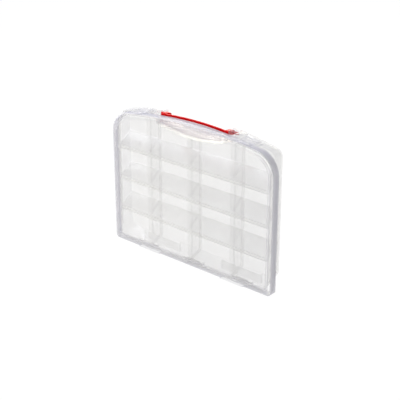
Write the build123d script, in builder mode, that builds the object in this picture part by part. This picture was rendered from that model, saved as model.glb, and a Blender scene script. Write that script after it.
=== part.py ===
from build123d import *
from math import atan2, cos, degrees, radians, sin, sqrt
import os

# A flat organiser case that stands on its long edge, in millimetres.
# X runs along the width, Y from the lid at the front to the back, and Z up.
# The origin is in the middle of the footprint, on the surface that the case stands on.

# Lid
lid_width = 290.0
lid_height = 208.7
lid_crown_rise = 13.5
lid_top_corner = 33.0
lid_bottom_corner = 6.0
lid_wall = 1.6
lid_rim_depth = 12.0
lid_front_round = 1.8
lid_border = 8.5
panel_recess = 1.9

# Pads below the lid, and the tray's back feet
pad_height = 1.5
pad_length = 40.0
pad_depth = 8.0
pad_offset = 77.5
pad_setback = 1.0
foot_length = 70.0
foot_offset = 75.0
foot_depth = 3.7

# Tray
case_depth = 29.0
tray_wall = 1.5
tray_side_gap = 7.0
tray_crown_above_lid = 5.5
tray_crown_rise = 16.9
tray_top_corner = 12.0
tray_bottom_corner = 15.0
tray_back_round = 1.2
floor_gap = 0.9
floor_rise = 10.7
panel_gap = 0.5
lip_gap = 0.6
rim_back_gap = 0.4
flange_thickness = 1.5
flange_lowest = 20.0

# Shelves: an upright nose along the front and a floor that slopes up to the back wall
first_shelf_height = 48.1
shelf_count = 3
top_row_loss = 1.9
nose_height = 5.0
scoop_rise = 16.5
scoop_wall = 1.3

# Dividers and their guide ribs
column_pitch = 76.1
divider_thickness = 1.5
divider_fit = 0.3
bead_width = 8.5
bead_depth = 1.5
guide_rib = 1.4
guide_height = 1.6

# Finger recess and the ears at its ends
recess_width = 121.0
recess_depth = 24.9
recess_rise = 8.0
ear_width = 10.0

# Handle
pivot_y = 9.0
pivot_drop = 8.9
pivot_radius = 2.0
pivot_fit = 0.08
pin_length = 8.0
pin_end_gap = 0.3
hub_radius = 3.2
arm_width = 6.8
arm_side_gap = 0.5
bar_reach = 8.5
bar_lift = 1.6
bar_rise = 2.7
bar_height = 3.4
bar_depth = 3.2
bar_round = 1.0
arm_end_radius = 2.4
rest_width = 6.0
rest_depth = 2.4
rest_gap = 0.6

# Snap clips
clip_offset = 95.0
clip_width = 20.0
clip_thickness = 2.2
clip_reach = 20.0
clip_barrel_radius = 1.9
clip_pivot_y = 7.0
clip_seat_gap = 0.5
clip_side_gap = 0.5
trunnion_radius = 1.0
trunnion_length = 2.0
trunnion_fit = 0.06
grip_rib_count = 4
grip_rib_pitch = 4.0
grip_rib_width = 1.3
grip_rib_height = 0.7
grip_rib_length = 14.0

# Hinge
hinge_spacing = 88.0
hinge_rise = 2.4
knuckle_radius = 2.2
lid_knuckle_length = 18.0
tray_knuckle_length = 9.0
knuckle_gap = 0.4
hinge_pin_radius = 1.0
hinge_pin_fit = 0.05
arm_half_depth = 1.9
notch_gap = 0.6

# Places that follow from these sizes
front = -case_depth / 2
back = case_depth / 2
lid_bottom = pad_height
lid_crown_height = lid_bottom + lid_height
lid_back = front + lid_rim_depth
panel_inside = front + panel_recess + lid_wall
tray_front = panel_inside + panel_gap
tray_step = lid_back + rim_back_gap
flange_back = lid_back - rim_back_gap / 2
inner_back = back - tray_wall
half_lid = lid_width / 2
half_tray = half_lid - tray_side_gap
half_inside = half_tray - tray_wall
tray_crown_height = lid_crown_height + tray_crown_above_lid
lip_inset = lid_wall + lip_gap
half_recess = recess_width / 2
recess_height = tray_crown_height - recess_depth
floor_slope = floor_rise / (inner_back - tray_front)
scoop_slope = scoop_rise / (inner_back - tray_front)
underside_front = lid_bottom + lid_wall + floor_gap
floor_front = underside_front + tray_wall * sqrt(1 + floor_slope**2)
shelf_pitch = (recess_height + top_row_loss - first_shelf_height - lid_bottom) / shelf_count
shelf_heights = [lid_bottom + first_shelf_height + shelf_pitch * i for i in range(shelf_count)]
columns = {"left": -column_pitch, "middle": 0.0, "right": column_pitch}
hinge_y = lid_back
hinge_height = lid_bottom + hinge_rise
hinge_stations = {"left": -hinge_spacing, "middle": 0.0, "right": hinge_spacing}
pivot_height = tray_crown_height - pivot_drop
sides = {"left": -1, "right": 1}


def crown_radius(half_width, rise):
    return (half_width**2 + rise**2) / (2 * rise)


def crown_drop(x, half_width, rise):
    radius = crown_radius(half_width, rise)
    return radius - sqrt(radius**2 - x**2)


def lid_top(x):
    return lid_crown_height - crown_drop(x, half_lid, lid_crown_rise)


def recess_floor(x):
    return recess_height + crown_drop(x, half_recess, recess_rise)


# The tray's sloping underside at depth y
def underside(y):
    return underside_front + floor_slope * (y - tray_front)


# An upright plane at depth y, whose sketches are drawn in X and Z and extrude to the front
def upright(y):
    return Plane.XZ.offset(-y)


def crowned_outline(half_width, bottom, crown, rise, bottom_corner, top_corner):
    with BuildSketch() as outline:
        with BuildLine():
            Polyline((-half_width, crown - rise), (-half_width, bottom), (half_width, bottom),
                     (half_width, crown - rise))
            ThreePointArc((half_width, crown - rise), (0, crown), (-half_width, crown - rise))
        make_face()
        fillet(outline.vertices().sort_by(Axis.Y)[:2], radius=bottom_corner)
        fillet(outline.vertices().sort_by(Axis.Y)[-2:], radius=top_corner)
    return outline.sketch


def inset(shape, amount):
    with BuildSketch() as smaller:
        add(shape)
        offset(amount=-amount)
    return smaller.sketch


def recess_outline(half_width, lowest, rise):
    top = tray_crown_height + tray_wall + lid_wall
    with BuildSketch() as outline:
        with BuildLine():
            ThreePointArc((-half_width, lowest + rise), (0, lowest), (half_width, lowest + rise))
            Polyline((half_width, lowest + rise), (half_width, top), (-half_width, top),
                     (-half_width, lowest + rise))
        make_face()
    return outline.sketch


# The front view of a trough with rounded bottom corners, open far above the case
def trough_outline(half_width, bottom, corner):
    with BuildSketch() as outline:
        with Locations((0, bottom)):
            Rectangle(2 * half_width, tray_crown_height, align=(Align.CENTER, Align.MIN))
        fillet(outline.vertices().sort_by(Axis.Y)[:2], radius=corner)
    return outline.sketch


# A side view in Y and Z between two sloping lines, each given by its height at the tray's front
def sloped_section(y_front, y_back, low, low_slope, high, high_slope):
    with BuildSketch() as section:
        with BuildLine():
            Polyline((y_front, low + low_slope * (y_front - tray_front)),
                     (y_back, low + low_slope * (y_back - tray_front)),
                     (y_back, high + high_slope * (y_back - tray_front)),
                     (y_front, high + high_slope * (y_front - tray_front)), close=True)
        make_face()
    return section.sketch


# Above a divider in the top row: the lowest part of the top wall or the ear over its bead
def ceiling(x):
    if abs(x) < half_recess:
        return recess_height + crown_drop(x, half_recess, recess_rise) - tray_wall
    below_lip = lid_top(abs(x) + bead_width / 2) - lip_inset - tray_wall
    if abs(x) - bead_width / 2 < half_recess + ear_width:
        return min(below_lip, recess_height + recess_rise)
    return below_lip


# Rows from the top: floor height at the front and its slope, then the same for the space's top
def row_sizes(row, x):
    index = shelf_count - row
    high = (ceiling(x), 0.0) if row == 0 else (shelf_heights[index], scoop_slope)
    if index == 0:
        return floor_front, floor_slope, *high
    return shelf_heights[index - 1] + nose_height, scoop_slope, *high


# The plane of a snap clip's side view: it leans with the lid's top edge
def clip_plane(side, along=0.0):
    lean = radians(clip_lean)
    origin = (side * (clip_offset + along * cos(lean)), 0, clip_seat - along * sin(lean))
    return Plane(origin=origin, x_dir=(0, 1, 0), z_dir=(cos(lean), 0, -side * sin(lean)))


lid_outline = crowned_outline(half_lid, lid_bottom, lid_crown_height, lid_crown_rise,
                              lid_bottom_corner, lid_top_corner)
tray_outline = crowned_outline(half_tray, lid_bottom, tray_crown_height, tray_crown_rise,
                               lid_bottom_corner, tray_top_corner)
lip_outline = inset(lid_outline, lip_inset)
recess_space = recess_outline(half_recess, recess_height, recess_rise)
recess_wall = recess_outline(half_recess + tray_wall, recess_height - tray_wall, recess_rise)

with BuildSketch() as lip:
    add(tray_outline)
    add(lip_outline, mode=Mode.INTERSECT)
tray_lip = lip.sketch

lid_radius = crown_radius(half_lid, lid_crown_rise)
clip_lean = degrees(atan2(clip_offset, sqrt(lid_radius**2 - clip_offset**2)))
clip_seat = lid_top(clip_offset) + clip_seat_gap
clip_axis_height = clip_thickness / 2
pocket_floor = clip_axis_height - clip_barrel_radius - clip_seat_gap
pocket_back = clip_pivot_y + clip_barrel_radius + clip_seat_gap
half_pocket = clip_width / 2 + clip_side_gap
half_boss = half_pocket + trunnion_length + tray_wall
bar_y = pivot_y - bar_reach
bar_end_height = pivot_height + bar_lift
half_handle = half_recess - arm_side_gap
rest_top = bar_end_height - arm_end_radius - rest_gap
half_station = lid_knuckle_length / 2 + knuckle_gap + tray_knuckle_length
tray_knuckle_center = lid_knuckle_length / 2 + knuckle_gap + tray_knuckle_length / 2
trough_start = tray_front - tray_wall
trough_run = (back - trough_start + tray_wall) * sqrt(1 + floor_slope**2)
trough_direction = (0, 1, floor_slope)

# The tray's inside, above its sloping bottom and outside the finger recess
with BuildPart() as inside:
    with BuildSketch(upright(inner_back)):
        add(inset(tray_outline, tray_wall))
        add(recess_wall, mode=Mode.SUBTRACT)
    extrude(amount=inner_back - tray_step - tray_wall)
    with BuildSketch(upright(tray_step + tray_wall)):
        add(inset(tray_lip, tray_wall))
        add(recess_wall, mode=Mode.SUBTRACT)
    extrude(amount=tray_step + tray_wall - tray_front + panel_gap)
    with BuildSketch(upright(trough_start)):
        add(trough_outline(half_inside, floor_front - floor_slope * tray_wall,
                           tray_bottom_corner - tray_wall))
    extrude(amount=trough_run, dir=trough_direction, mode=Mode.INTERSECT)

# Tray: shell, shelves, guide ribs, ears, clip pockets, knuckles and feet
with BuildPart() as tray:
    with BuildSketch(upright(back)):
        add(tray_outline)
    extrude(amount=back - tray_step)
    with BuildSketch(upright(tray_step)):
        add(tray_lip)
    extrude(amount=tray_step - tray_front)
    with BuildSketch(upright(trough_start)):
        add(trough_outline(half_tray, underside(trough_start), tray_bottom_corner))
    extrude(amount=trough_run, dir=trough_direction, mode=Mode.INTERSECT)
    back_edges = tray.faces().sort_by(Axis.Y)[-1].edges()
    fillet(back_edges, radius=tray_back_round)
    # Side flange behind the lid's rim
    with BuildSketch(upright(flange_back)):
        add(lip_outline)
        with Locations((0, lid_bottom + flange_lowest)):
            Rectangle(lid_width, lid_crown_height, align=(Align.CENTER, Align.MIN), mode=Mode.INTERSECT)
    extrude(amount=flange_thickness)
    add(inside.part, mode=Mode.SUBTRACT)
    # Ears and clip bosses, solid to the outer surface
    with BuildSketch(upright(back - tray_wall / 2)):
        add(inset(tray_outline, tray_wall / 2))
        with BuildSketch(mode=Mode.INTERSECT):
            for side in sides.values():
                with Locations((side * (half_recess + ear_width / 2), recess_height + recess_rise)):
                    Rectangle(ear_width, tray_crown_height, align=(Align.CENTER, Align.MIN))
                with Locations(Location((side * clip_offset, clip_seat), (0, 0, -side * clip_lean))):
                    with Locations((0, pocket_floor - tray_wall)):
                        Rectangle(2 * half_boss, tray_crown_height, align=(Align.CENTER, Align.MIN))
    extrude(amount=back - tray_wall / 2 - tray_step)
    # Shelves
    scoop_lift = scoop_wall * sqrt(1 + scoop_slope**2)
    for height in shelf_heights:
        with BuildSketch(Plane.YZ):
            add(sloped_section(tray_front, inner_back + tray_wall / 2, height + nose_height - scoop_lift,
                               scoop_slope, height + nose_height, scoop_slope))
            add(sloped_section(tray_front, tray_front + tray_wall, height, scoop_slope,
                               height + nose_height, scoop_slope))
        extrude(amount=half_tray - tray_wall / 2, both=True)
    # Guide ribs either side of each divider, on the floor and up the back wall
    slot_half = divider_thickness / 2 + divider_fit / 2
    guide_front = tray_front + bead_depth + divider_fit
    for row in range(shelf_count + 1):
        for x in columns.values():
            low, slope, high, high_slope = row_sizes(row, x)
            for side in sides.values():
                with BuildSketch(Plane.YZ.offset(x + side * (slot_half + guide_rib / 2))):
                    add(sloped_section(guide_front, inner_back + tray_wall / 4, low - tray_wall / 4, slope,
                                       high - divider_fit, high_slope))
                    add(sloped_section(guide_front - tray_wall, inner_back - guide_height,
                                       low + guide_height, slope, high + nose_height, high_slope),
                        mode=Mode.SUBTRACT)
                extrude(amount=guide_rib / 2, both=True)
    # Hinge knuckles and their arms
    arm_back = hinge_y + arm_half_depth
    arm_front = hinge_y - arm_half_depth
    for station in hinge_stations.values():
        for side in sides.values():
            with BuildSketch(Plane.YZ.offset(station + side * tray_knuckle_center)):
                with BuildLine():
                    Polyline((arm_front, hinge_height), (arm_back, hinge_height),
                             (arm_back, underside(arm_back) + tray_wall / 2),
                             (arm_front, underside(arm_front) + tray_wall / 2), close=True)
                make_face()
                with Locations((hinge_y, hinge_height)):
                    Circle(knuckle_radius)
                    Circle(hinge_pin_radius + hinge_pin_fit / 2, mode=Mode.SUBTRACT)
            extrude(amount=tray_knuckle_length / 2, both=True)
    # Back feet
    for side in sides.values():
        with BuildSketch(Plane.YZ.offset(side * foot_offset)):
            with BuildLine():
                Polyline((back - foot_depth, 0), (back, 0), (back, underside(back) + tray_wall / 2),
                         (back - foot_depth, underside(back - foot_depth) + tray_wall / 2), close=True)
            make_face()
        extrude(amount=foot_length / 2, both=True)
    # Rests under the handle's arms
    with BuildSketch(upright(bar_y + rest_depth / 2)):
        for side in sides.values():
            with Locations((side * (half_recess - rest_width / 2 + ear_width / 4), rest_top)):
                Rectangle(rest_width + ear_width / 2, rest_top - recess_floor(half_recess - rest_width)
                          + tray_wall / 2, align=(Align.CENTER, Align.MAX))
    rest_blocks = extrude(amount=rest_depth, mode=Mode.PRIVATE)
    # Finger recess, open to the back and to the front above the lid's top edge
    with BuildSketch(upright(back + tray_wall)):
        add(recess_space)
    extrude(amount=case_depth + tray_wall, mode=Mode.SUBTRACT)
    add(rest_blocks)
    # Clip pockets and bores
    for side in sides.values():
        with BuildSketch(clip_plane(side)):
            with BuildLine():
                Polyline((front, pocket_floor), (pocket_back, pocket_floor), (pocket_back, case_depth),
                         (front, case_depth), close=True)
            make_face()
        extrude(amount=half_pocket, both=True, mode=Mode.SUBTRACT)
        with BuildSketch(clip_plane(side)):
            with Locations((clip_pivot_y, clip_axis_height)):
                Circle(trunnion_radius + trunnion_fit)
        extrude(amount=half_pocket + trunnion_length, both=True, mode=Mode.SUBTRACT)
        with BuildSketch(Plane.YZ.offset(side * half_recess)):
            with Locations((pivot_y, pivot_height)):
                Circle(pivot_radius + pivot_fit)
        extrude(amount=side * (pin_length + pin_end_gap), mode=Mode.SUBTRACT)

# Lid: rim, raised border, recessed panel, pads and hinge knuckles
with BuildPart() as lid:
    with BuildSketch(upright(lid_back)):
        add(lid_outline)
    extrude(amount=lid_rim_depth)
    fillet(lid.faces().sort_by(Axis.Y)[0].edges(), radius=lid_front_round)
    with BuildSketch(upright(lid_back)):
        add(inset(lid_outline, lid_wall))
    extrude(amount=lid_rim_depth - lid_wall, mode=Mode.SUBTRACT)
    with BuildSketch(upright(panel_inside)):
        add(inset(lid_outline, lid_border - lid_wall))
    extrude(amount=panel_recess)
    with BuildSketch(upright(front + panel_recess)):
        add(inset(lid_outline, lid_border))
    extrude(amount=panel_recess, mode=Mode.SUBTRACT)
    with BuildSketch(Plane.XY):
        for side in sides.values():
            with Locations((side * pad_offset, front + pad_setback)):
                Rectangle(pad_length, pad_depth, align=(Align.CENTER, Align.MIN))
    extrude(amount=pad_height + lid_wall / 2)
    for station in hinge_stations.values():
        # Room for the tray's knuckles
        with BuildSketch(Plane.XY):
            for side in sides.values():
                with Locations((station + side * (tray_knuckle_center + notch_gap / 2), hinge_y)):
                    Rectangle(tray_knuckle_length + 2 * knuckle_gap + notch_gap,
                              2 * (arm_half_depth + notch_gap))
        extrude(amount=hinge_height, mode=Mode.SUBTRACT)
        with BuildSketch(Plane.YZ.offset(station)):
            with Locations((hinge_y, hinge_height)):
                Circle(knuckle_radius)
                Rectangle(2 * arm_half_depth, hinge_rise - lid_wall / 2,
                          align=(Align.CENTER, Align.MAX))
        extrude(amount=lid_knuckle_length / 2, both=True)
        with BuildSketch(Plane.YZ.offset(station)):
            with Locations((hinge_y, hinge_height)):
                Circle(hinge_pin_radius + hinge_pin_fit)
        extrude(amount=lid_knuckle_length / 2, both=True, mode=Mode.SUBTRACT)

# Handle: arched bar, two arms and their pins
with BuildPart() as handle:
    with BuildSketch(upright(bar_y + bar_depth / 2)):
        arm_inside = half_handle - arm_width / 2
        with BuildLine():
            ThreePointArc((-arm_inside, bar_end_height + bar_height / 2),
                          (0, bar_end_height + bar_rise + bar_height / 2),
                          (arm_inside, bar_end_height + bar_height / 2))
            Line((arm_inside, bar_end_height + bar_height / 2),
                 (arm_inside, bar_end_height - bar_height / 2))
            ThreePointArc((arm_inside, bar_end_height - bar_height / 2),
                          (0, bar_end_height + bar_rise - bar_height / 2),
                          (-arm_inside, bar_end_height - bar_height / 2))
            Line((-arm_inside, bar_end_height - bar_height / 2),
                 (-arm_inside, bar_end_height + bar_height / 2))
        make_face()
    extrude(amount=bar_depth)
    long_edges = handle.edges().filter_by(GeomType.CIRCLE)
    fillet(long_edges, radius=bar_round)
    for side in sides.values():
        with BuildSketch(Plane.YZ.offset(side * half_handle)):
            with Locations((pivot_y, pivot_height)):
                Circle(hub_radius)
            with Locations((bar_y, bar_end_height)):
                Circle(arm_end_radius)
            make_hull()
        extrude(amount=-side * arm_width)
        with BuildSketch(Plane.YZ.offset(side * (half_handle - arm_width / 2))):
            with Locations((pivot_y, pivot_height)):
                Circle(pivot_radius)
        extrude(amount=side * (arm_width / 2 + arm_side_gap + pin_length))

# Snap clips: ribbed plate, barrel and trunnions
clips = {}
for name, side in sides.items():
    with BuildPart() as clip:
        with BuildSketch(clip_plane(side)):
            with Locations((clip_pivot_y - clip_reach / 2, clip_axis_height)):
                Rectangle(clip_reach, clip_thickness)
            with Locations((clip_pivot_y, clip_axis_height)):
                Circle(clip_barrel_radius)
            with Locations((clip_pivot_y - clip_reach, clip_axis_height)):
                Circle(clip_thickness / 2)
        extrude(amount=clip_width / 2, both=True)
        with BuildSketch(clip_plane(side)):
            with Locations((clip_pivot_y, clip_axis_height)):
                Circle(trunnion_radius)
        extrude(amount=half_pocket + trunnion_length - clip_side_gap, both=True)
        for i in range(grip_rib_count):
            along = (i - (grip_rib_count - 1) / 2) * grip_rib_pitch
            with BuildSketch(clip_plane(side, side * along)):
                with Locations((clip_pivot_y - clip_reach + grip_rib_length / 2, clip_thickness)):
                    SlotOverall(grip_rib_length, 2 * grip_rib_height)
            extrude(amount=grip_rib_width / 2, both=True)
    clips[name] = clip

# Hinge pins
hinge_pins = {}
for name, station in hinge_stations.items():
    with BuildPart() as hinge_pin:
        with BuildSketch(Plane.YZ.offset(station)):
            with Locations((hinge_y, hinge_height)):
                Circle(hinge_pin_radius)
        extrude(amount=half_station, both=True)
        chamfer(hinge_pin.edges().filter_by(GeomType.CIRCLE), length=hinge_pin_radius / 4)
    hinge_pins[name] = hinge_pin

# Dividers: a plate cut to its compartment and a wide bead along its front edge
dividers = {}
for row in range(shelf_count + 1):
    for name, x in columns.items():
        low, slope, high, high_slope = row_sizes(row, x)
        low_fit = divider_fit * sqrt(1 + slope**2)
        high_fit = divider_fit * sqrt(1 + high_slope**2)
        bead_low = low + slope * bead_depth + divider_fit
        with BuildPart() as divider:
            with BuildSketch(Plane.YZ.offset(x)):
                add(sloped_section(tray_front + bead_depth / 2, inner_back - divider_fit,
                                   low + low_fit, slope, high - high_fit, high_slope))
            extrude(amount=divider_thickness / 2, both=True)
            with BuildSketch(upright(tray_front + bead_depth)):
                with Locations((x, bead_low)):
                    Rectangle(bead_width, high - divider_fit - bead_low, align=(Align.CENTER, Align.MIN))
            extrude(amount=bead_depth)
        dividers[f"row{row + 1}_{name}"] = divider

named = {"tray": tray, "lid": lid, "handle": handle}
named.update({f"clip_{name}": clip for name, clip in clips.items()})
named.update({f"hinge_pin_{name}": pin for name, pin in hinge_pins.items()})
named.update({f"divider_{name}": divider for name, divider in dividers.items()})

os.makedirs("parts", exist_ok=True)
for name, piece in named.items():
    piece.part.label = name
    export_step(piece.part, f"parts/{name}.step")
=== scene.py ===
from math import cos, pi, radians, sin

import bpy
from mathutils import Matrix, Vector


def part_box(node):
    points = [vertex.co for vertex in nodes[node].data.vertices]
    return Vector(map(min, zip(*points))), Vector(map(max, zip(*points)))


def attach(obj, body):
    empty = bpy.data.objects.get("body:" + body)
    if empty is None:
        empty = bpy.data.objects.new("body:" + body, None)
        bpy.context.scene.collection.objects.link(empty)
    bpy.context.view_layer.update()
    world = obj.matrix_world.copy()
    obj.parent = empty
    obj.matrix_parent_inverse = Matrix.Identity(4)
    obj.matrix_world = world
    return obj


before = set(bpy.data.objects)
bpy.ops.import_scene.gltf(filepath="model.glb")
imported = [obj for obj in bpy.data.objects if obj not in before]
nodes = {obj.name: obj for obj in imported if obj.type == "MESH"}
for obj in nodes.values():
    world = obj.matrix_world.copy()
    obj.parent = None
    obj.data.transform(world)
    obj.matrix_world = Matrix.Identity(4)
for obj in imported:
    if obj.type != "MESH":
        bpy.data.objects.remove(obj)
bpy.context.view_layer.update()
scene = bpy.context.scene
white = (1, 1, 1, 1)
print("frame loaded:", len(nodes), "nodes")


def fromHex(code):  # sRGB hex to the linear values that sockets take
    values = [int(code[i:i + 2], 16) / 255 for i in (1, 3, 5)]
    return [v / 12.92 if v <= 0.04045 else ((v + 0.055) / 1.055) ** 2.4 for v in values] + [1.0]


def put(tree, kind, links=None, **settings):  # one node with its settings, values and links
    node = tree.nodes.new(kind)
    for name, value in settings.items():
        setattr(node, name, value)
    for name, value in (links or {}).items():
        if isinstance(value, bpy.types.NodeSocket):
            tree.links.new(value, node.inputs[name])
        else:
            node.inputs[name].default_value = value
    return node


def newMaterial(name):
    material = bpy.data.materials.new(name)
    material.use_nodes = True
    material.node_tree.nodes.clear()
    return material, material.node_tree


def dress(material, *names):  # gives CAD nodes their finish
    for name in names:
        mesh = nodes[name].data
        mesh.materials.clear()
        mesh.materials.append(material)


def addMesh(name, verts, faces, material):  # an object of its own, in the scene
    mesh = bpy.data.meshes.new(name)
    mesh.from_pydata(verts, [], faces)
    mesh.materials.append(material)
    made = bpy.data.objects.new(name, mesh)
    scene.collection.objects.link(made)
    return made


# Camera, where the photograph was taken from
camera = {"azimuth": 41.21, "elevation": 23.01, "lens": 87.3, "right": 0.0142, "up": 0.0026, "back": 1.3363,
          "aim": (0, -0.0105, 0.0973)}
az, el = radians(camera["azimuth"]), radians(camera["elevation"])
right = Vector((cos(az), sin(az), 0))
up = Vector((-sin(az) * sin(el), cos(az) * sin(el), cos(el)))
away = Vector((-sin(az) * cos(el), cos(az) * cos(el), -sin(el)))
place = Vector(camera["aim"]) + right * camera["right"] + up * camera["up"] - away * camera["back"]
cameraData = bpy.data.cameras.new("camera")
cameraData.lens, cameraData.sensor_width = camera["lens"], 36
cameraData.clip_start, cameraData.clip_end = 0.05, 50
cameraObject = bpy.data.objects.new("camera", cameraData)
scene.collection.objects.link(cameraObject)
turn = Matrix((right, up, -away)).transposed().to_4x4()
cameraObject.matrix_world = Matrix.Translation(place) @ turn
scene.camera = cameraObject

# Studio: pale floor, a surround that is white to the eye, lights the object brightly from the rear left and
# dimly from the front right, and three soft lamps: one overhead from the left, one close to the lower left
# and one behind. A lamp is its name, place, target, size, power, colour and whether gloss mirrors it.
studio = {
    "floorColour": "#f4f4f2", "floorHalf": 30, "floorGlow": 0.94, "glowStrength": 1.04,
    "fill": (0.72, 0.2), "mirror": (1.0, 0.3), "fillColour": "#f6f6ff", "dimSide": (0.8, -0.6, 0.0),
    "lamps": [
        ("overhead", (-0.55, 0.0, 1.05), (0, 0, 0.1), 0.7, 7.5, "#f6f6ff", True),
        ("lowLeft", (-0.16, -0.36, 0.03), (-0.03, 0, 0.06), 0.25, 1.5, "#fff8dc", False),
        ("behind", (-0.5, 0.9, 0.3), (-0.05, 0, 0.05), 0.7, 4.5, "#fffbe8", True),
    ]}


def whereSeen(tree):  # 1 on rays that show a surface to the eye, 0 on rays that light the object
    path = put(tree, "ShaderNodeLightPath")
    seen = path.outputs["Is Camera Ray"]
    for kind in ("Is Glossy Ray", "Is Transmission Ray"):
        seen = put(tree, "ShaderNodeMath", {0: seen, 1: path.outputs[kind]}, operation="MAXIMUM").outputs[0]
    return seen


world = bpy.data.worlds.new("surround")
scene.world = world
world.use_nodes = True
tree = world.node_tree
tree.nodes.clear()
coords = put(tree, "ShaderNodeTexCoord")
towards = put(tree, "ShaderNodeVectorMath", {0: coords.outputs["Generated"], 1: studio["dimSide"]},
              operation="DOT_PRODUCT")
surround = {"seen": put(tree, "ShaderNodeBackground", {"Color": white, "Strength": 1.0})}
for use, colour in (("fill", fromHex(studio["fillColour"])), ("mirror", white)):
    strength = put(tree, "ShaderNodeMapRange", {
        "Value": towards.outputs["Value"], "From Min": -1.0, "From Max": 1.0,
        "To Min": studio[use][0], "To Max": studio[use][1]})
    surround[use] = put(tree, "ShaderNodeBackground", {"Color": colour, "Strength": strength.outputs[0]})
path = put(tree, "ShaderNodeLightPath")
both = put(tree, "ShaderNodeMixShader", {0: whereSeen(tree), 1: surround["fill"].outputs[0],
                                         2: surround["seen"].outputs[0]})
both = put(tree, "ShaderNodeMixShader", {0: path.outputs["Is Glossy Ray"], 1: both.outputs[0],
                                         2: surround["mirror"].outputs[0]})
put(tree, "ShaderNodeOutputWorld", {"Surface": both.outputs[0]})

floorMaterial, tree = newMaterial("white studio paper")
share = put(tree, "ShaderNodeMath", {0: whereSeen(tree), 1: studio["floorGlow"]}, operation="MULTIPLY")
paper = put(tree, "ShaderNodeBsdfPrincipled", {"Base Color": fromHex(studio["floorColour"]), "Roughness": 0.9,
                                               "Specular IOR Level": 0.1})
glow = put(tree, "ShaderNodeEmission", {"Color": white, "Strength": studio["glowStrength"]})
both = put(tree, "ShaderNodeMixShader", {0: share.outputs[0], 1: paper.outputs[0], 2: glow.outputs[0]})
put(tree, "ShaderNodeOutputMaterial", {"Surface": both.outputs[0]})
far = studio["floorHalf"]
addMesh("floor", [(-far, -far, 0), (far, -far, 0), (far, far, 0), (-far, far, 0)],
                 [(0, 1, 2, 3)], floorMaterial)

for name, where, target, size, power, colour, mirrored in studio["lamps"]:
    lamp = bpy.data.lights.new(name, "AREA")
    lamp.shape, lamp.size, lamp.energy = "DISK", size, power
    lamp.color = fromHex(colour)[:3]
    lampObject = bpy.data.objects.new(name, lamp)
    lampObject.location = where
    lampObject.rotation_euler = (Vector(target) - Vector(where)).to_track_quat("-Z", "Y").to_euler()
    lampObject.visible_camera = False
    lampObject.visible_glossy = mirrored
    scene.collection.objects.link(lampObject)
scene.view_settings.view_transform = "Standard"
scene.cycles.transparent_max_bounces = 64
print("studio ready")

# Moulded natural polypropylene: milky and see-through. A wall dims what is behind it a little and glows
# with the light that it scatters, more where it is seen edge on. IOR 1.49, satin from a polished mould.
# In a finish, haze is the share scattered face on, edgeHaze what a glancing view adds and sideHaze what rims
# and sloping walls add. A fourth share is a painted highlight: white milk laid on surfaces that face both the
# front and up, standing in for the overhead lamp's reflection along the rounded top edge.
plastic = {"ior": 1.49, "flowScale": 80.0, "flowUneven": 0.15, "mostHaze": 0.95, "flowBump": 0.04,
           "faceOnGloss": 0.04, "milkRoughness": 0.15, "translucent": 0.5, "paintedHighlightFrom": -0.1, "paintedHighlightTo": -0.4}


# Painted highlight: how far a rounded edge faces both the front and up, from 0 to the finish's painted
# highlight share. It whitens and clouds the wall where the overhead lamp's reflection falls
def paintedEdgeHighlight(tree, axes, finish):
    facing = put(tree, "ShaderNodeMath", {0: axes.outputs["Y"], 1: axes.outputs["Z"]}, operation="MULTIPLY")
    paintedHighlight = put(tree, "ShaderNodeMapRange", {
        "Value": facing.outputs[0], "From Min": plastic["paintedHighlightFrom"], "From Max": plastic["paintedHighlightTo"],
        "To Min": 0.0, "To Max": finish["paintedHighlightShare"]})
    return paintedHighlight.outputs[0]


# The scattered share: uneven with the flow marks and more at a glancing view and on sides, plus the painted
# highlight on edges that face the front and up
def scatter(tree, flow, facing, axes, paintedHighlight, finish):
    haze = put(tree, "ShaderNodeMapRange", {
        "Value": flow.outputs["Fac"], "From Min": 0.3, "From Max": 0.7,
        "To Min": finish["haze"] * (1 - plastic["flowUneven"]),
        "To Max": finish["haze"] * (1 + plastic["flowUneven"])})
    edge = put(tree, "ShaderNodeMath", {0: facing.outputs["Facing"], 1: finish["edgePower"]},
               operation="POWER")
    front = put(tree, "ShaderNodeMath", {0: axes.outputs["Y"]}, operation="ABSOLUTE")
    side = put(tree, "ShaderNodeMath", {0: 1.0, 1: front.outputs[0]}, operation="SUBTRACT")
    for amount, share in ((edge, "edgeHaze"), (side, "sideHaze")):
        haze = put(tree, "ShaderNodeMath", {0: amount.outputs[0], 1: finish[share], 2: haze.outputs[0]},
                   operation="MULTIPLY_ADD")
    haze = put(tree, "ShaderNodeMath", {0: haze.outputs[0], 1: paintedHighlight}, operation="ADD")
    return put(tree, "ShaderNodeClamp", {"Value": haze.outputs[0], "Min": 0.0, "Max": plastic["mostHaze"]})


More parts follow.
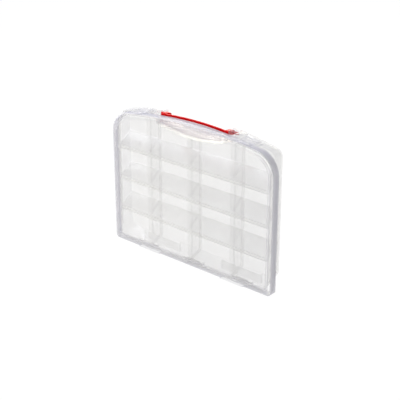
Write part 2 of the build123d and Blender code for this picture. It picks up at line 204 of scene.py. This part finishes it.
def polypropylene(name, finish):
    material, tree = newMaterial(name)
    facing = put(tree, "ShaderNodeLayerWeight", {"Blend": 0.5})
    coords = put(tree, "ShaderNodeTexCoord")
    axes = put(tree, "ShaderNodeSeparateXYZ", {0: coords.outputs["Normal"]})
    # flow marks, about 12 mm across
    flow = put(tree, "ShaderNodeTexNoise", {"Vector": coords.outputs["Object"],
                                            "Scale": plastic["flowScale"], "Detail": 3.0})
    paintedHighlight = paintedEdgeHighlight(tree, axes, finish)
    haze = scatter(tree, flow, facing, axes, paintedHighlight, finish)
    bump = put(tree, "ShaderNodeBump", {"Height": flow.outputs["Fac"], "Strength": plastic["flowBump"],
                                        "Distance": 0.001})
    clear = put(tree, "ShaderNodeBsdfTransparent", {"Color": fromHex(finish["tint"])})
    gloss = put(tree, "ShaderNodeBsdfGlossy", {"Color": white, "Roughness": finish["roughness"],
                                               "Normal": bump.outputs[0]})
    # gloss by Schlick's rule, which holds on both sides of a wall
    grazing = put(tree, "ShaderNodeMath", {0: facing.outputs["Facing"], 1: 5.0}, operation="POWER")
    share = put(tree, "ShaderNodeMath", {0: grazing.outputs[0], 1: 1 - plastic["faceOnGloss"],
                                         2: plastic["faceOnGloss"]}, operation="MULTIPLY_ADD")
    pane = put(tree, "ShaderNodeMixShader", {0: share.outputs[0], 1: clear.outputs[0], 2: gloss.outputs[0]})
    # painted highlight: the milk turns white where a rounded edge faces the front and up
    colour = put(tree, "ShaderNodeMix", {0: paintedHighlight, 6: fromHex(finish["colour"]), 7: white}, data_type="RGBA")
    milk = put(tree, "ShaderNodeBsdfPrincipled", {
        "Base Color": colour.outputs[2], "IOR": plastic["ior"], "Normal": bump.outputs[0],
        "Roughness": finish["roughness"] + plastic["milkRoughness"]})
    through = put(tree, "ShaderNodeBsdfTranslucent", {"Color": colour.outputs[2]})
    milk = put(tree, "ShaderNodeMixShader", {0: plastic["translucent"], 1: milk.outputs[0],
                                             2: through.outputs[0]})
    surface = put(tree, "ShaderNodeMixShader", {0: haze.outputs[0], 1: pane.outputs[0], 2: milk.outputs[0]})
    put(tree, "ShaderNodeOutputMaterial", {"Surface": surface.outputs[0]})
    return material


# each finish's painted highlight share sets how white its front-and-up edges are painted
lidFinish = {"colour": "#dedee5", "haze": 0.04, "edgeHaze": 0.4, "edgePower": 2.5, "sideHaze": 0.64,
             "paintedHighlightShare": 0.9, "tint": "#fdfdfd", "roughness": 0.12}
trayFinish = {"colour": "#f3f3f4", "haze": 0.06, "edgeHaze": 0.3, "edgePower": 2.5, "sideHaze": 0.1,
              "paintedHighlightShare": 0.0, "tint": "#fcfcfc", "roughness": 0.2}
dividerFinish = {"colour": "#f3f3f4", "haze": 0.025, "edgeHaze": 0.1, "edgePower": 2.5, "sideHaze": 0.0,
                 "paintedHighlightShare": 0.0, "tint": "#fcfcfc", "roughness": 0.2}
clipFinish = {"colour": "#f8f8fb", "haze": 0.06, "edgeHaze": 0.25, "edgePower": 2.0, "sideHaze": 0.05,
              "paintedHighlightShare": 0.3, "tint": "#fcfcfd", "roughness": 0.16}
pinFinish = {"colour": "#f3f3f4", "haze": 0.15, "edgeHaze": 0.2, "edgePower": 2.0, "sideHaze": 0.0,
             "paintedHighlightShare": 0.0, "tint": "#f9f9f9", "roughness": 0.2}
dividerNames = [name for name in nodes if name.startswith("divider")]
pinNames = [name for name in nodes if name.startswith("hinge_pin")]
dress(polypropylene("moulded natural polypropylene", trayFinish), "tray")
dress(polypropylene("moulded clear polypropylene", lidFinish), "lid")
dress(polypropylene("moulded natural polypropylene rod", pinFinish), *pinNames)
dress(polypropylene("moulded natural polypropylene sheet", dividerFinish), *dividerNames)
dress(polypropylene("moulded natural polypropylene clip", clipFinish), "clip_left", "clip_right")
print("clear plastics ready")

# Moulded red ABS: deep and even, with a fine grain. Its gloss is kept weak so that the red stays deep
handleFinish = {"colour": "#ee040a", "ior": 1.54, "gloss": 0.05, "roughness": 0.35, "grainScale": 900.0}
handlePlastic, tree = newMaterial("moulded red ABS")
coords = put(tree, "ShaderNodeTexCoord")
grain = put(tree, "ShaderNodeTexNoise", {"Vector": coords.outputs["Object"],
                                         "Scale": handleFinish["grainScale"], "Detail": 2.0})
bump = put(tree, "ShaderNodeBump", {"Height": grain.outputs["Fac"], "Strength": 0.05, "Distance": 0.0003})
gloss = put(tree, "ShaderNodeBsdfPrincipled", {
    "Base Color": fromHex(handleFinish["colour"]), "IOR": handleFinish["ior"], "Normal": bump.outputs[0],
    "Specular IOR Level": handleFinish["gloss"], "Roughness": handleFinish["roughness"]})
put(tree, "ShaderNodeOutputMaterial", {"Surface": gloss.outputs[0]})
dress(handlePlastic, "handle")
print("handle ready")

# Moulded edges are never sharp: welds the loaded faces and rounds every edge a little
edges = {"weld": 0.00001, "sharpest": 32, "round": 0.00025, "steps": 2}
for name in nodes:
    weld = nodes[name].modifiers.new("weld", "WELD")
    weld.merge_threshold = edges["weld"]
    bevel = nodes[name].modifiers.new("round", "BEVEL")
    bevel.width, bevel.segments = edges["round"], edges["steps"]
    bevel.limit_method, bevel.angle_limit = "ANGLE", radians(edges["sharpest"])
    bevel.use_clamp_overlap = True
    bevel.harden_normals = True
print("edges rounded")

# Shelf beads: a thin half-round bead along the top and bottom of each shelf's nose
shelfBead = {"half": 0.0005, "proud": 0.0003, "endGap": 0.0075, "noseHeight": 0.005, "dividerAbove": 0.0009,
             "sides": 6, "finish": {"colour": "#e2e2e4", "haze": 0.42, "edgeHaze": 0.3, "edgePower": 2.0,
                                    "sideHaze": 0.1, "paintedHighlightShare": 0.0, "tint": "#f6f6f7", "roughness": 0.2}}
trayLow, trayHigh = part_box("tray")
halfLength = trayHigh[0] - shelfBead["endGap"]
sides, count = shelfBead["sides"], shelfBead["sides"] + 1
verts, faces = [], []
for row in (1, 2, 3):
    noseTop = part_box(f"divider_row{row}_middle")[0][2] - shelfBead["dividerAbove"]
    for height in (noseTop - shelfBead["half"], noseTop - shelfBead["noseHeight"] + shelfBead["half"]):
        start = len(verts)
        for x in (-halfLength, halfLength):
            for i in range(count):
                angle = pi * (i / sides - 0.5)
                verts.append((x, trayLow[1] - shelfBead["proud"] * cos(angle),
                              height + shelfBead["half"] * sin(angle)))
        faces += [(start + i, start + i + 1, start + count + i + 1, start + count + i) for i in range(sides)]
        faces.append((start, start + count, start + 2 * count - 1, start + count - 1))
        faces.append(tuple(range(start, start + count)))
        faces.append(tuple(range(start + 2 * count - 1, start + count - 1, -1)))
shelfBeads = addMesh("shelf_beads", verts, faces, polypropylene("polished polypropylene bead",
                                                                shelfBead["finish"]))
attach(shelfBeads, "tray")
print("shelf beads ready")

# Recess web: the thin upright sheet that closes the finger recess behind the lid's top edge. Its lower edge
# follows the recess's arch and its upper edge the lid's; both are measured down from the lid's highest point
web = {"halfWidth": 0.0603, "lowest": 0.0194, "rise": 0.008, "lidRise": 0.0135, "underLid": 0.0024,
       "front": 0.0103, "thickness": 0.0012, "steps": 24,
       "finish": {"colour": "#dedce3", "haze": 0.34, "edgeHaze": 0.3, "edgePower": 2.5, "sideHaze": 0.1,
                  "paintedHighlightShare": 0.0, "tint": "#f8f6f8", "roughness": 0.2}}


def arcDrop(x, half, rise):  # how far an arch with this half width and rise has fallen at x
    radius = (half ** 2 + rise ** 2) / (2 * rise)
    return radius - (radius ** 2 - x ** 2) ** 0.5


lidLow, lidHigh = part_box("lid")
webFront = lidLow[1] + web["front"]
verts, faces = [], []
for i in range(web["steps"] + 1):
    x = web["halfWidth"] * (2 * i / web["steps"] - 1)
    low = lidHigh[2] - web["lowest"] + arcDrop(x, web["halfWidth"], web["rise"])
    high = lidHigh[2] - web["underLid"] - arcDrop(x, lidHigh[0], web["lidRise"])
    for y in (webFront, webFront + web["thickness"]):
        verts += [(x, y, low), (x, y, high)]
for i in range(web["steps"]):
    a, b = 4 * i, 4 * i + 4
    faces += [(a, b, b + 1, a + 1), (a + 2, a + 3, b + 3, b + 2), (a + 1, b + 1, b + 3, a + 3),
              (a, a + 2, b + 2, b)]
last = 4 * web["steps"]
faces += [(0, 1, 3, 2), (last, last + 2, last + 3, last + 1)]
recessWeb = addMesh("recess_web", verts, faces, polypropylene("moulded polypropylene web", web["finish"]))
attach(recessWeb, "tray")
print("recess web ready")
